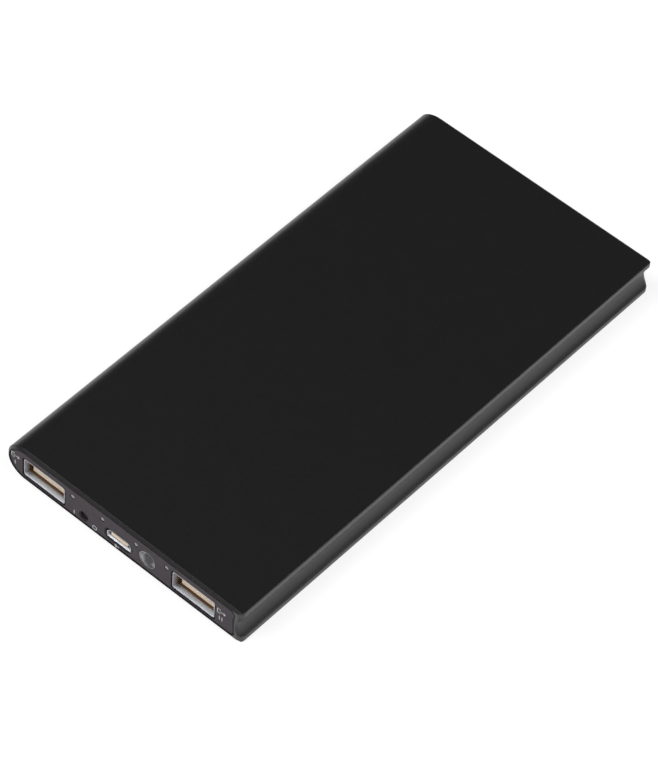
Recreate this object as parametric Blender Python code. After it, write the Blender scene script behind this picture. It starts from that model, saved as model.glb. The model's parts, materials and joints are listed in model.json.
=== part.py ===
"""A slim power bank shaped like a closed book: a hollow aluminium sleeve with a convex spine and a
concave fore edge, closed by an end plate at each end. The front end carries two USB-A outputs, a
micro-USB input, a push button, a torch LED and four charge indicators.

Frame: +X across the width, towards the concave side; +Y along the length, away from the ports; +Z up.
The origin is the middle of the bottom face. Lengths below are in millimetres; MM turns them into metres.
"""

import math

import bmesh
import bpy
from mathutils import Matrix, Vector

MM = 0.001

# Driving dimensions of the sleeve
LENGTH = 150.0
WIDTH = 75.0
THICKNESS = 11.0
WALL = 0.7
SPINE_DEPTH = 6.0  # how far the convex spine bulges, a half ellipse
LIP = 1.5  # thickness of the two cover edges beside the concave side
HOLLOW_DEPTH = 1.6  # how deep the concave side sinks between those edges
LIP_BEVEL = 0.3
END_CHAMFER = 0.44
CORNER_RADIUS = 1.5  # of the covers' corners, seen from above
INNER_CORNER = 1.7
INNER_BOW = 0.3  # the cavity's right side bows in by this much at mid height

# End plates and the frames behind them
PLATE_RECESS = 0.1
PLATE_THICKNESS = 1.2
PLATE_GAP = 0.15
FRAME_THICKNESS = 2.0
FRAME_GAP = 0.1
FACE_GAP = 0.15  # between two parts that rest on each other

# Screws and the channels in the sleeve that take them
CHANNEL_X = (-34.2, 32.5)
CHANNEL_RADIUS = 1.5
CHANNEL_WEB = 1.6
SCREW_BORE = 0.65
SCREW_SHANK = 0.58
SCREW_HEAD = 1.3
SCREW_HEAD_HEIGHT = 0.8
SCREW_LENGTH = 6.0

# Circuit board
BOARD_X = (-33.2, 34.4)
BOARD_DEPTH = 20.4
BOARD_THICKNESS = 0.8
BOARD_TOP = 2.2
SOLDER_GAP = 0.1
PART_BASE = BOARD_TOP + SOLDER_GAP

# USB-A receptacles
USB_X = {"left": -25.45, "right": 22.35}
USB_Z = 4.8
USB_SHELL = (13.1, 5.72, 14.0)
USB_SHEET = 0.3
USB_MOUTH = 0.3  # behind the sleeve's end
USB_CUTOUT = (13.8, 6.4)
TONGUE_WIDTH = 10.3
TONGUE_HEIGHT = 1.84
TONGUE_LENGTH = 9.0
TONGUE_RECESS = 1.8
USB_PINS = (-3.5, -1.0, 1.0, 3.5)

# Micro-USB receptacle
MICRO_X = -1.33
MICRO_Z = 3.9
MICRO_SHELL = (7.5, 2.6, 5.4)
MICRO_SHEET = 0.25
MICRO_MOUTH = 0.35
MICRO_CUTOUT = (9.2, 3.8)
MICRO_PINS = tuple(0.65 * step for step in (-2, -1, 0, 1, 2))

# Torch LED
TORCH_X = 7.86
TORCH_Z = 5.0
TORCH_RADIUS = 2.5
TORCH_HOLE = 2.62
TORCH_TIP = 0.02
TORCH_DOME = 0.25  # how far the lens bulges forward
TORCH_LENGTH = 7.6
TORCH_FLANGE = (2.9, 1.0)  # radius and thickness
TORCH_POCKET = (3.4, 1.8, 4.2)  # room for the lead frame, open at the back

# Push button and the switch behind it
BUTTON_X = -12.5
BUTTON_Z = 3.25
BUTTON_RADIUS = 1.05
BUTTON_HOLE = 1.2
BUTTON_RECESS = 0.8
BUTTON_FLANGE = 1.95
BUTTON_FLANGE_THICKNESS = 0.7
BUTTON_STEM = 0.85
BUTTON_TRAVEL = 0.3
SWITCH_SIZE = (5.0, 3.0, 2.2)
PLUNGER_SIZE = (2.2, 1.2)

# Charge indicators
INDICATOR_X = (-16.1, -6.5, 4.2, 13.9)
INDICATOR_Z = 7.45
PIPE_RADIUS = 0.6
PIPE_BEND = 0.8
PIPE_HOLE = 0.72

# Battery
CELL_X = (-31.4, 30.4)
CELL_Y = (-45.0, 69.6)
CELL_Z = {"lower": (1.0, 5.35), "upper": (5.65, 10.0)}
CELL_TERRACE = 4.0
TAB_X = 17.0
TAB_FRONT = CELL_Y[0] - CELL_TERRACE - 0.35
LEAD_RADIUS = 0.5

# Places along the length, counted from the front end
HALF = LENGTH / 2
PLATE_FACE = -HALF + PLATE_RECESS
PLATE_BACK = PLATE_FACE + PLATE_THICKNESS
FRAME_FACE = PLATE_BACK + FACE_GAP
FRAME_BACK = FRAME_FACE + FRAME_THICKNESS
CHANNEL_END = FRAME_BACK + FACE_GAP
MID_Z = THICKNESS / 2


# ---------------------------------------------------------------- outlines, as (x, z) points


def arc(center, radii, start, end, steps):
    """Points of an elliptical arc, both ends included; angles in degrees."""
    points = []
    for step in range(steps + 1):
        angle = math.radians(start + (end - start) * step / steps)
        points.append((center[0] + radii[0] * math.cos(angle), center[1] + radii[1] * math.sin(angle)))
    return points


def circle(center, radius, steps=20):
    return arc(center, (radius, radius), 0, 360, steps)[:-1]


def rounded_rectangle(center, size, radius, steps=3):
    half_x = size[0] / 2 - radius
    half_z = size[1] / 2 - radius
    points = []
    for quarter, (side_x, side_z) in enumerate(((1, 1), (-1, 1), (-1, -1), (1, -1))):
        corner = (center[0] + side_x * half_x, center[1] + side_z * half_z)
        points += arc(corner, (radius, radius), 90 * quarter, 90 * quarter + 90, steps)
    return points


def sleeve_outline(inset, tip_limit):
    """The sleeve's outer section, moved in by inset, with the cover edges no further out than tip_limit."""
    spine = arc((SPINE_DEPTH - WIDTH / 2, MID_Z), (SPINE_DEPTH - inset, MID_Z - inset), 90, 270, 28)
    half_chord = MID_Z - LIP
    radius = (half_chord**2 + HOLLOW_DEPTH**2) / (2 * HOLLOW_DEPTH)
    center_x = WIDTH / 2 - HOLLOW_DEPTH + radius
    tip = min(WIDTH / 2 - inset, tip_limit)
    reach = math.degrees(math.acos((center_x - tip) / (radius + inset)))
    hollow = arc((center_x, MID_Z), (radius + inset, radius + inset), 180 + reach, 180 - reach, 14)
    bevel = LIP_BEVEL
    low, high = inset, THICKNESS - inset
    lower_edge = [(tip - bevel, low), (tip - bevel * 0.3, low + bevel * 0.3), (tip, low + bevel)]
    upper_edge = [(tip, high - bevel), (tip - bevel * 0.3, high - bevel * 0.3), (tip - bevel, high)]
    return spine + lower_edge + hollow + upper_edge


def cavity_outline(clearance=0.0):
    """The sleeve's inner section, or with a clearance the outline of a plate that fits it."""
    gap = WALL + clearance
    spine = arc((SPINE_DEPTH - WIDTH / 2, MID_Z), (SPINE_DEPTH - gap, MID_Z - gap), 90, 270, 24)
    side = WIDTH / 2 - HOLLOW_DEPTH - WALL + INNER_BOW - clearance
    radius = INNER_CORNER - clearance
    corner_x = side - radius
    lower = arc((corner_x, gap + radius), (radius, radius), 270, 360, 6)
    upper = arc((corner_x, THICKNESS - gap - radius), (radius, radius), 0, 90, 6)
    bow = []
    half = MID_Z - gap - radius
    for share in (-0.6, -0.3, 0.0, 0.3, 0.6):
        bow.append((side - INNER_BOW * (1 - share**2), MID_Z + half * share))
    return spine + lower + bow + upper


# ---------------------------------------------------------------- meshes, in millimetres


def finished(shape, name):
    """A mesh from a bmesh, with its faces pointing out."""
    bmesh.ops.remove_doubles(shape, verts=shape.verts, dist=1e-5)
    bmesh.ops.recalc_face_normals(shape, faces=shape.faces)
    mesh = bpy.data.meshes.new(name)
    shape.to_mesh(mesh)
    shape.free()
    return mesh


def loft(rings):
    """A closed solid through rings of points, each with the same number of points."""
    shape = bmesh.new()
    loops = [[shape.verts.new(point) for point in ring] for ring in rings]
    count = len(loops[0])
    for near, far in zip(loops, loops[1:]):
        for i in range(count):
            shape.faces.new((near[i], near[(i + 1) % count], far[(i + 1) % count], far[i]))
    shape.faces.new(loops[0])
    shape.faces.new(reversed(loops[-1]))
    return finished(shape, "loft")


def prism(outline, y_start, y_end):
    return loft([[(x, y, z) for x, z in outline] for y in (y_start, y_end)])


def block(x, y, z):
    """A box between the two values given for each axis."""
    return prism([(x[0], z[0]), (x[1], z[0]), (x[1], z[1]), (x[0], z[1])], *y)


def plate(outline, holes, y_start, y_end):
    """A flat plate with holes through it."""
    return cut(prism(outline, y_start, y_end), *[prism(hole, y_start - 1, y_end + 1) for hole in holes])


def tube(route, radius):
    """A round bar with flat ends along a route of points."""
    curve = bpy.data.curves.new("tube", "CURVE")
    curve.dimensions = "3D"
    curve.bevel_depth = radius
    curve.bevel_resolution = 2
    curve.use_fill_caps = True
    spline = curve.splines.new("POLY")
    spline.points.add(len(route) - 1)
    for point, position in zip(spline.points, route):
        point.co = (*position, 1)
    holder = bpy.data.objects.new("tube", curve)
    shape = bmesh.new()
    shape.from_mesh(bpy.data.meshes.new_from_object(holder))
    bpy.data.objects.remove(holder)
    return finished(shape, "tube")


def turned(profile, steps=24):
    """A solid of revolution about the local Y axis, from (radius, y) points; both ends are at radius 0."""
    shape = bmesh.new()
    previous = [shape.verts.new((0, profile[0][1], 0))]
    for radius, y in profile[1:-1]:
        ring = []
        for step in range(steps):
            angle = 2 * math.pi * step / steps
            ring.append(shape.verts.new((radius * math.cos(angle), y, radius * math.sin(angle))))
        for i in range(steps):
            following = (i + 1) % steps
            if len(previous) == 1:
                shape.faces.new((previous[0], ring[i], ring[following]))
            else:
                shape.faces.new((previous[i], ring[i], ring[following], previous[following]))
        previous = ring
    tip = shape.verts.new((0, profile[-1][1], 0))
    for i in range(steps):
        shape.faces.new((previous[i], tip, previous[(i + 1) % steps]))
    return finished(shape, "turned")


def side_prism(outline, x_start, x_end):
    """A prism along X from an outline of (y, z) points."""
    return loft([[(x, y, z) for y, z in outline] for x in (x_start, x_end)])


def combined(mesh, other, operation):
    """The Boolean of two closed meshes, as a new mesh."""
    scene = bpy.context.scene.collection
    target = bpy.data.objects.new("target", mesh)
    tool = bpy.data.objects.new("tool", other)
    scene.objects.link(target)
    scene.objects.link(tool)
    modifier = target.modifiers.new("boolean", "BOOLEAN")
    modifier.operation = operation
    modifier.object = tool
    graph = bpy.context.evaluated_depsgraph_get()
    result = bpy.data.meshes.new_from_object(target.evaluated_get(graph))
    bpy.data.objects.remove(target)
    bpy.data.objects.remove(tool)
    return result


def cut(mesh, *tools):
    for tool in tools:
        mesh = combined(mesh, tool, "DIFFERENCE")
    return mesh


def join(mesh, *others):
    for other in others:
        mesh = combined(mesh, other, "UNION")
    return mesh


def bevelled(mesh, width, segments=1, angle=30):
    """The mesh with its edges sharper than angle bevelled."""
    shape = bmesh.new()
    shape.from_mesh(mesh)
    bmesh.ops.dissolve_limit(shape, angle_limit=math.radians(1), verts=shape.verts, edges=shape.edges)
    edges = [edge for edge in shape.edges if edge.calc_face_angle(0) > math.radians(angle)]
    bmesh.ops.bevel(shape, geom=edges, offset=width, segments=segments, affect="EDGES", profile=0.5)
    return finished(shape, "bevelled")


# ---------------------------------------------------------------- materials and objects


def material(name, color, roughness, metallic=0.0, alpha=1.0):
    made = bpy.data.materials.new(name)
    made.use_nodes = True
    made.diffuse_color = (*color, alpha)
    shader = made.node_tree.nodes["Principled BSDF"]
    shader.inputs["Base Color"].default_value = (*color, 1.0)
    shader.inputs["Roughness"].default_value = roughness
    shader.inputs["Metallic"].default_value = metallic
    shader.inputs["Alpha"].default_value = alpha
    return made


def make_materials():
    return {
        "anodised_black": material("anodised_black", (0.012, 0.012, 0.013), 0.42, 0.4),
        "plate_plastic": material("plate_plastic", (0.03, 0.028, 0.03), 0.32),
        "frame_plastic": material("frame_plastic", (0.02, 0.02, 0.02), 0.6),
        "nickel_steel": material("nickel_steel", (0.72, 0.71, 0.69), 0.22, 1.0),
        "screw_steel": material("screw_steel", (0.35, 0.35, 0.36), 0.35, 1.0),
        "ivory_plastic": material("ivory_plastic", (0.78, 0.66, 0.52), 0.5),
        "gold_contact": material("gold_contact", (0.83, 0.62, 0.25), 0.25, 1.0),
        "button_plastic": material("button_plastic", (0.02, 0.02, 0.022), 0.38),
        "clear_epoxy": material("clear_epoxy", (0.92, 0.94, 0.95), 0.05, 0.0, 0.35),
        "light_pipe": material("light_pipe", (0.85, 0.86, 0.88), 0.3, 0.0, 0.7),
        "board_green": material("board_green", (0.02, 0.16, 0.06), 0.4),
        "film_amber": material("film_amber", (0.62, 0.33, 0.05), 0.35),
        "chip_black": material("chip_black", (0.025, 0.025, 0.025), 0.55),
        "ferrite_grey": material("ferrite_grey", (0.09, 0.09, 0.09), 0.7),
        "capacitor_tan": material("capacitor_tan", (0.5, 0.36, 0.22), 0.45),
        "cell_foil": material("cell_foil", (0.62, 0.63, 0.65), 0.38, 1.0),
        "foam_grey": material("foam_grey", (0.16, 0.16, 0.17), 0.95),
        "wire_red": material("wire_red", (0.5, 0.02, 0.02), 0.45),
        "wire_black": material("wire_black", (0.02, 0.02, 0.02), 0.45),
    }


def place(name, mesh, finish, location=(0.0, 0.0, 0.0), parent=None):
    """Puts a mesh, given in millimetres about its own origin, into the scene in metres."""
    if not mesh.get("in_metres"):
        mesh.transform(Matrix.Scale(MM, 4))
        mesh["in_metres"] = True
        mesh.materials.clear()
        mesh.materials.append(finish)
        mesh.shade_smooth()
        mesh.set_sharp_from_angle(angle=math.radians(35))
    mesh.name = name
    made = bpy.data.objects.new(name, mesh)
    made.location = Vector(location) * MM
    made.parent = parent
    bpy.context.scene.collection.objects.link(made)
    return made


def group(name, location):
    """An empty that holds the pieces of one sub-assembly."""
    empty = bpy.data.objects.new(name, None)
    empty.location = Vector(location) * MM
    bpy.context.scene.collection.objects.link(empty)
    return empty


# ---------------------------------------------------------------- sleeve, end plates and frames


def channel_outline(center_x, wall_x):
    """A round screw channel with a web that runs into the sleeve's wall."""
    half = CHANNEL_WEB / 2
    open_angle = math.degrees(math.asin(half / CHANNEL_RADIUS))
    if wall_x < center_x:
        boss = arc((center_x, MID_Z), (CHANNEL_RADIUS,) * 2, open_angle - 180, 180 - open_angle, 16)
        return [(wall_x, MID_Z - half), *boss, (wall_x, MID_Z + half)]
    boss = arc((center_x, MID_Z), (CHANNEL_RADIUS,) * 2, open_angle, 360 - open_angle, 16)
    return [(wall_x, MID_Z + half), *boss, (wall_x, MID_Z - half)]


def sleeve_rings():
    """Sections of the sleeve from end to end: chamfered ends, and covers with rounded corners."""
    stations = []
    for step in range(5):
        angle = math.radians(90 * step / 4)
        depth = CORNER_RADIUS * (1 - math.cos(angle))
        side_inset = CORNER_RADIUS * (1 - math.sin(angle))
        inset = max(0.0, END_CHAMFER - depth)
        stations.append((depth, sleeve_outline(inset, WIDTH / 2 - side_inset)))
    rings = [[(x, depth - HALF, z) for x, z in outline] for depth, outline in stations]
    rings += [[(x, HALF - depth, z) for x, z in outline] for depth, outline in reversed(stations)]
    return rings


def make_sleeve(finishes):
    mesh = cut(loft(sleeve_rings()), prism(cavity_outline(), -HALF - 1, HALF + 1))
    walls = (0.35 - WIDTH / 2, WIDTH / 2 - HOLLOW_DEPTH - 0.35)
    for center_x, wall_x in zip(CHANNEL_X, walls):
        channel = prism(channel_outline(center_x, wall_x), CHANNEL_END, -CHANNEL_END)
        mesh = join(mesh, channel)
        mesh = cut(mesh, prism(circle((center_x, MID_Z), SCREW_BORE, 12), -HALF, HALF))
    place("case_sleeve", mesh, finishes["anodised_black"])


def socket_holes(growth):
    """The openings for the sockets, the torch and the indicators, in a plate or, larger, in a frame."""
    holes = []
    for center_x in USB_X.values():
        size = (USB_CUTOUT[0] + growth, USB_CUTOUT[1] + growth)
        holes.append(rounded_rectangle((center_x, USB_Z), size, 0.7))
    holes.append(circle((TORCH_X, TORCH_Z), TORCH_HOLE + growth / 2, 28))
    for center_x in INDICATOR_X:
        holes.append(circle((center_x, INDICATOR_Z), PIPE_HOLE, 12))
    return holes


def make_front_plate(finishes):
    holes = socket_holes(0.0)
    holes.append(rounded_rectangle((MICRO_X, MICRO_Z), MICRO_CUTOUT, MICRO_CUTOUT[1] / 2 - 0.01, 6))
    holes.append(circle((BUTTON_X, BUTTON_Z), BUTTON_HOLE, 20))
    mesh = plate(cavity_outline(PLATE_GAP), holes, PLATE_FACE, PLATE_BACK)
    place("front_panel", mesh, finishes["plate_plastic"])


def make_front_frame(finishes):
    holes = socket_holes(0.1)
    micro_hole = (MICRO_SHELL[0] + 0.4, MICRO_SHELL[1] + 0.4)
    holes.append(rounded_rectangle((MICRO_X, MICRO_Z), micro_hole, 0.5))
    holes.append(circle((BUTTON_X, BUTTON_Z), BUTTON_STEM + 0.2, 16))
    holes += [circle((x, MID_Z), SCREW_BORE + 0.15, 12) for x in CHANNEL_X]
    mesh = plate(cavity_outline(FRAME_GAP), holes, FRAME_FACE, FRAME_BACK)
    pocket_floor = FRAME_FACE + BUTTON_FLANGE_THICKNESS + BUTTON_TRAVEL + 0.2
    pocket = circle((BUTTON_X, BUTTON_Z), BUTTON_FLANGE + 0.2, 20)
    mesh = cut(mesh, prism(pocket, FRAME_FACE - 1, pocket_floor))
    mesh = cut(mesh, *head_recesses(FRAME_FACE))
    place("front_frame", mesh, finishes["frame_plastic"])


def head_recesses(face):
    """Cutters for the screw heads in a frame whose outer face is at this y."""
    floor = face + SCREW_HEAD_HEIGHT + 0.1
    return [prism(circle((x, MID_Z), SCREW_HEAD + 0.12, 16), face - 1, floor) for x in CHANNEL_X]


def make_rear_end(finishes):
    panel = plate(cavity_outline(PLATE_GAP), [], -PLATE_BACK, -PLATE_FACE)
    place("rear_panel", panel, finishes["plate_plastic"])
    bores = [circle((x, MID_Z), SCREW_BORE + 0.15, 12) for x in CHANNEL_X]
    mesh = plate(cavity_outline(FRAME_GAP), bores, -FRAME_BACK, -FRAME_FACE)
    for tool in head_recesses(FRAME_FACE):
        tool.transform(Matrix.Rotation(math.pi, 4, "Z"))
        tool.transform(Matrix.Scale(-1, 4, (1, 0, 0)))
        tool.flip_normals()
        mesh = cut(mesh, tool)
    place("rear_frame", mesh, finishes["frame_plastic"])


def screw_mesh():
    """A small self-tapping screw along +Y, with a crossed slot; its head's face is at y = 0."""
    head, shank, rim = SCREW_HEAD, SCREW_SHANK, 0.2
    profile = [(0, 0), (head - rim, 0), (head, rim), (head, SCREW_HEAD_HEIGHT), (shank, SCREW_HEAD_HEIGHT)]
    profile += [(shank, SCREW_LENGTH - 0.7), (shank * 0.3, SCREW_LENGTH), (0, SCREW_LENGTH)]
    mesh = turned(profile, 12)
    arm, depth = 0.85, 0.45
    for half_x, half_z in ((arm, 0.17), (0.17, arm)):
        mesh = cut(mesh, block((-half_x, half_x), (-0.5, depth), (-half_z, half_z)))
    return mesh


def make_screws(finishes):
    mesh = screw_mesh()
    head_y = FRAME_FACE + 0.05
    for end, turn in (("front", 0.0), ("rear", math.pi)):
        for side, center_x in zip(("left", "right"), CHANNEL_X):
            y = head_y if end == "front" else -head_y
            screw = place(f"{end}_screw_{side}", mesh, finishes["screw_steel"], (center_x, y, MID_Z))
            screw.rotation_euler = (0, 0, turn)


# ---------------------------------------------------------------- circuit board and what it carries


def make_board(finishes):
    front = CHANNEL_END
    y = (front, front + BOARD_DEPTH)
    mesh = block(BOARD_X, y, (BOARD_TOP - BOARD_THICKNESS, BOARD_TOP))
    slot_back = USB_MOUTH + USB_SHELL[2] - HALF + 0.3
    for center_x in USB_X.values():
        half = USB_SHELL[0] / 2 + 0.2
        mesh = cut(mesh, block((center_x - half, center_x + half), (front - 1, slot_back), (0, 4)))
    half = TORCH_FLANGE[0] + 0.2
    flange_back = TORCH_TIP + TORCH_LENGTH + TORCH_FLANGE[1] - HALF + 0.2
    mesh = cut(mesh, block((TORCH_X - half, TORCH_X + half), (front - 1, flange_back), (0, 4)))
    place("circuit_board", mesh, finishes["board_green"])
    film_top = BOARD_TOP - BOARD_THICKNESS - 0.13
    film = block((BOARD_X[0] + 1, BOARD_X[1] - 1), (front + 0.2, y[1]), (film_top - 0.12, film_top))
    place("board_insulating_film", film, finishes["film_amber"])


def usb_shell_mesh():
    """A folded steel box, open at the front; its mouth's centre is the origin."""
    width, height, depth = USB_SHELL
    outer = prism(rounded_rectangle((0, 0), (width, height), 0.5), 0, depth)
    inner_size = (width - 2 * USB_SHEET, height - 2 * USB_SHEET)
    mesh = cut(outer, prism(rounded_rectangle((0, 0), inner_size, 0.3), -1, depth - USB_SHEET))
    base = PART_BASE - USB_Z
    for side in (-1, 1):
        for y in (6.0, 11.0):
            reach = sorted((side * (width / 2 - 0.15), side * (width / 2 + 1.0)))
            mesh = join(mesh, block(reach, (y, y + 1.8), (base, base + 0.3)))
    return mesh


def usb_insulator_mesh():
    """The plastic block at the back of the socket and the tongue, in its lower half, under the contacts."""
    width, height, depth = USB_SHELL
    gap = USB_SHEET + 0.1
    back = depth - USB_SHEET - 0.1
    body_front = TONGUE_RECESS + TONGUE_LENGTH - 0.5
    half_x, half_z = width / 2 - gap, height / 2 - gap
    body = block((-half_x, half_x), (body_front, back), (-half_z, half_z))
    low = -TONGUE_HEIGHT
    nose = [(TONGUE_RECESS, low + 0.3), (TONGUE_RECESS + 0.3, low), (back - 1, low)]
    nose += [(back - 1, 0), (TONGUE_RECESS + 0.3, 0), (TONGUE_RECESS, -0.3)]
    tongue = side_prism(nose, -TONGUE_WIDTH / 2, TONGUE_WIDTH / 2)
    return join(body, tongue)


def usb_contact_mesh():
    """One sprung contact strip, lying on the tongue with a raised middle."""
    start, end = TONGUE_RECESS + 0.7, TONGUE_RECESS + TONGUE_LENGTH - 0.7
    thick = 0.15
    upper = [(start, 0.23), (start + 1.2, 0.45), (start + 3.0, 0.45), (start + 5.0, 0.23), (end, 0.23)]
    lower = [(y, z - thick) for y, z in reversed(upper)]
    return side_prism(upper + lower, -0.45, 0.45)


def make_usb_sockets(finishes):
    shell, insulator, contact = usb_shell_mesh(), usb_insulator_mesh(), usb_contact_mesh()
    for side, center_x in USB_X.items():
        socket = group(f"usb_{side}", (center_x, USB_MOUTH - HALF, USB_Z))
        place(f"usb_{side}_shell", shell, finishes["nickel_steel"], parent=socket)
        place(f"usb_{side}_insulator", insulator, finishes["ivory_plastic"], parent=socket)
        for number, pin_x in enumerate(USB_PINS, 1):
            name = f"usb_{side}_contact_{number}"
            place(name, contact, finishes["gold_contact"], (pin_x, 0, 0), socket)


def micro_outline(shrink):
    """Wide at the bottom, with the two upper corners cut off."""
    half_x, half_z = MICRO_SHELL[0] / 2 - shrink, MICRO_SHELL[1] / 2 - shrink
    cut_x, cut_z = 1.0 - 0.4 * shrink, 0.95 - 0.4 * shrink
    corners = [(-half_x, -half_z), (half_x, -half_z), (half_x, half_z - cut_z)]
    return corners + [(half_x - cut_x, half_z), (cut_x - half_x, half_z), (-half_x, half_z - cut_z)]


def make_micro_socket(finishes):
    depth = MICRO_SHELL[2]
    socket = group("micro_usb", (MICRO_X, MICRO_MOUTH - HALF, MICRO_Z))
    hollow = prism(micro_outline(MICRO_SHEET), -1, depth - MICRO_SHEET)
    shell = cut(prism(micro_outline(0), 0, depth), hollow)
    place("micro_usb_shell", shell, finishes["nickel_steel"], parent=socket)
    back = depth - MICRO_SHEET - 0.1
    body = prism(micro_outline(MICRO_SHEET + 0.1), 4.0, back)
    tongue = block((-2.6, 2.6), (0.15, back - 0.5), (-0.3, 0.65))
    place("micro_usb_insulator", join(body, tongue), finishes["ivory_plastic"], parent=socket)
    contact = block((-0.15, 0.15), (0.5, 3.85), (-0.49, -0.37))
    for number, pin_x in enumerate(MICRO_PINS, 1):
        place(f"micro_usb_contact_{number}", contact, finishes["gold_contact"], (pin_x, 0, 0), socket)


def make_torch(finishes):
    """A five-millimetre LED lying on its side: clear lens with a flange, and the two leads inside it."""
    torch = group("torch_led", (TORCH_X, TORCH_TIP - HALF, TORCH_Z))
    radius, base = TORCH_RADIUS, TORCH_LENGTH
    dome = arc((0, TORCH_DOME), (radius, TORCH_DOME), -90, 0, 6)
    flange_radius, flange_height = TORCH_FLANGE
    back = base + flange_height
    rear = [(radius, base), (flange_radius, base), (flange_radius, back), (0, back)]
    lens = turned(dome + rear, 28)
    width, height, depth = TORCH_POCKET
    pocket = block((-width / 2, width / 2), (back - depth, back + 1), (-height / 2, height / 2))
    place("torch_led_lens", cut(lens, pocket), finishes["clear_epoxy"], parent=torch)
    front = back - depth + 0.2
    foot = back + 2.6
    drop = PART_BASE - TORCH_Z
    for name, side, head in (("anode", -1, 0.7), ("cathode", 1, 1.3)):
        x = sorted((side * 0.25, side * (0.25 + head)))
        leg = [(front, 0.7), (front, -0.7), (front + 1.0, -0.3), (foot - 0.5, -0.3), (foot - 0.5, drop)]
        leg += [(foot, drop), (foot, 0.2), (front + 1.0, 0.2)]
        lead = side_prism(leg, *x)
        place(f"torch_led_{name}", lead, finishes["nickel_steel"], parent=torch)


def make_button(finishes):
    """The button cap with its flange and stem; it slides along Y in the end plate's hole."""
    face = BUTTON_RECESS
    flange = FRAME_FACE + HALF
    stem_end = FRAME_BACK + HALF - 0.1
    dish = [(0, face + 0.12), (BUTTON_RADIUS * 0.55, face + 0.08), (BUTTON_RADIUS - 0.2, face)]
    body = [(BUTTON_RADIUS, face + 0.2), (BUTTON_RADIUS, flange), (BUTTON_FLANGE, flange)]
    flange_back = flange + BUTTON_FLANGE_THICKNESS
    rear = [(BUTTON_FLANGE, flange_back), (BUTTON_STEM, flange_back)]
    rear += [(BUTTON_STEM, stem_end), (0, stem_end)]
    cap = turned(dish + body + rear, 20)
    place("power_button", cap, finishes["button_plastic"], (BUTTON_X, -HALF, BUTTON_Z))


def make_switch(finishes):
    """The side-actuated switch behind the button: housing, plunger and snap disc."""
    width, depth, height = SWITCH_SIZE
    front = FRAME_BACK + 1.0
    switch = group("power_switch", (BUTTON_X, front, BUTTON_Z))
    low = PART_BASE - BUTTON_Z
    housing = block((-width / 2, width / 2), (0, depth), (low, low + height))
    slot_x, slot_z = PLUNGER_SIZE[0] / 2 + 0.1, PLUNGER_SIZE[1] / 2 + 0.1
    slot = block((-slot_x, slot_x), (-1, depth - 0.8), (-slot_z, slot_z))
    place("switch_body", cut(housing, slot), finishes["chip_black"], parent=switch)
    half_x, half_z = PLUNGER_SIZE[0] / 2, PLUNGER_SIZE[1] / 2
    rod = block((-half_x, half_x), (-1.0, 1.45), (-half_z, half_z))
    place("switch_plunger", bevelled(rod, 0.12), finishes["button_plastic"], parent=switch)
    disc = prism(rounded_rectangle((0, 0), (1.9, 1.0), 0.3), 1.85, 2.1)
    place("switch_snap_disc", disc, finishes["nickel_steel"], parent=switch)


def pipe_mesh():
    """An angled light pipe: in from the end plate, then down to the indicator LED on the board."""
    length = FRAME_BACK + HALF + 0.65
    drop = INDICATOR_Z - PART_BASE - 0.75
    route = [(0, 0, 0)]
    for y, z in arc((length - PIPE_BEND, -PIPE_BEND), (PIPE_BEND, PIPE_BEND), 90, 0, 4):
        route.append((0, y, z))
    route.append((0, length, -drop))
    return tube(route, PIPE_RADIUS)


def make_indicators(finishes):
    pipe = pipe_mesh()
    chip = bevelled(block((-0.8, 0.8), (-0.4, 0.4), (0, 0.6)), 0.06)
    pipe_front = 0.12 - HALF
    leg_y = pipe_front + FRAME_BACK + HALF + 0.65
    for number, center_x in enumerate(INDICATOR_X, 1):
        start = (center_x, pipe_front, INDICATOR_Z)
        place(f"light_pipe_{number}", pipe, finishes["light_pipe"], start)
        place(f"indicator_led_{number}", chip, finishes["ivory_plastic"], (center_x, leg_y, PART_BASE))


def make_power_parts(finishes):
    """The inductor, two chips and two capacitors behind the sockets."""
    y = CHANNEL_END + BOARD_DEPTH - 4.3
    inductor = bevelled(block((-3.2, 3.2), (-3.2, 3.2), (0, 3.4)), 0.5, 2)
    place("boost_inductor", inductor, finishes["ferrite_grey"], (-6.0, y - 1.2, PART_BASE))
    chips = (("controller_chip", 4.5, (5.0, 4.0, 1.5)), ("charger_chip", 19.0, (4.4, 3.8, 1.2)))
    for name, x, size in chips:
        half_x, half_y = size[0] / 2, size[1] / 2
        chip = bevelled(block((-half_x, half_x), (-half_y, half_y), (0, size[2])), 0.15)
        place(name, chip, finishes["chip_black"], (x, y, PART_BASE))
    capacitor = bevelled(block((-1.6, 1.6), (-1.25, 1.25), (0, 1.6)), 0.15)
    for number, x in enumerate((-16.0, 27.0), 1):
        place(f"output_capacitor_{number}", capacitor, finishes["capacitor_tan"], (x, y, PART_BASE))


# ---------------------------------------------------------------- battery


def cell_mesh(z_low, z_high):
    """A pouch cell: a flat block with soft edges and a thin sealed terrace at the front."""
    middle = (z_low + z_high) / 2
    body = bevelled(block(CELL_X, CELL_Y, (z_low, z_high)), 0.6, 2)
    inset = 1.5
    front = CELL_Y[0] - CELL_TERRACE
    x = (CELL_X[0] + inset, CELL_X[1] - inset)
    return join(body, block(x, (front, CELL_Y[0] + 1), (middle - 0.2, middle + 0.2)))


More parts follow.
